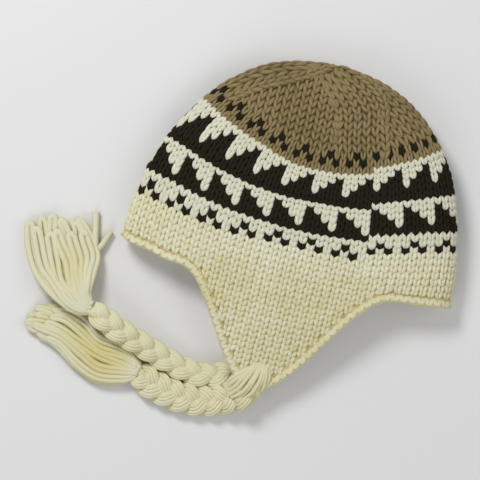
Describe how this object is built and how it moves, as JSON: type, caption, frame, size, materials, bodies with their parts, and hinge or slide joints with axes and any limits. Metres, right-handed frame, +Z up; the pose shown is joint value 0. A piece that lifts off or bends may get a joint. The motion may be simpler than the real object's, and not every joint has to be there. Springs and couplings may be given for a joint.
{
  "type": "knitted earflap hat",
  "caption": "Knitted chullo hat lying flat on its side, with a hollow tan crown, a brown and cream patterned band, cream ear flaps, a rolled hem, and plaited ties that end in yarn tassels.",
  "frame": {"origin": "middle of the hat's own box without its plaits and tassels, on the surface it lies on", "axes": "+Z up from the surface, +Y from the ear flaps to the crown, +X along the brim to the right as seen from above"},
  "size_m": [0.3539, 0.3065, 0.0448],
  "materials": {
    "tan_yarn": "matt knitted yarn",
    "brown_yarn": "matt knitted yarn",
    "cream_yarn": "matt knitted yarn",
    "plait_yarn": "matt plaited yarn",
    "tassel_yarn": "soft looped yarn"
  },
  "bodies": {
    "root": {"crown": "tan_yarn", "pattern_band": "brown_yarn", "base_band": "cream_yarn", "ear_flap_upper": "cream_yarn", "ear_flap_lower": "cream_yarn", "hem_roll": "cream_yarn", "plait_upper": "plait_yarn", "plait_lower": "plait_yarn", "tassel_upper": "tassel_yarn", "tassel_lower": "tassel_yarn"}
  },
  "joints": []
}
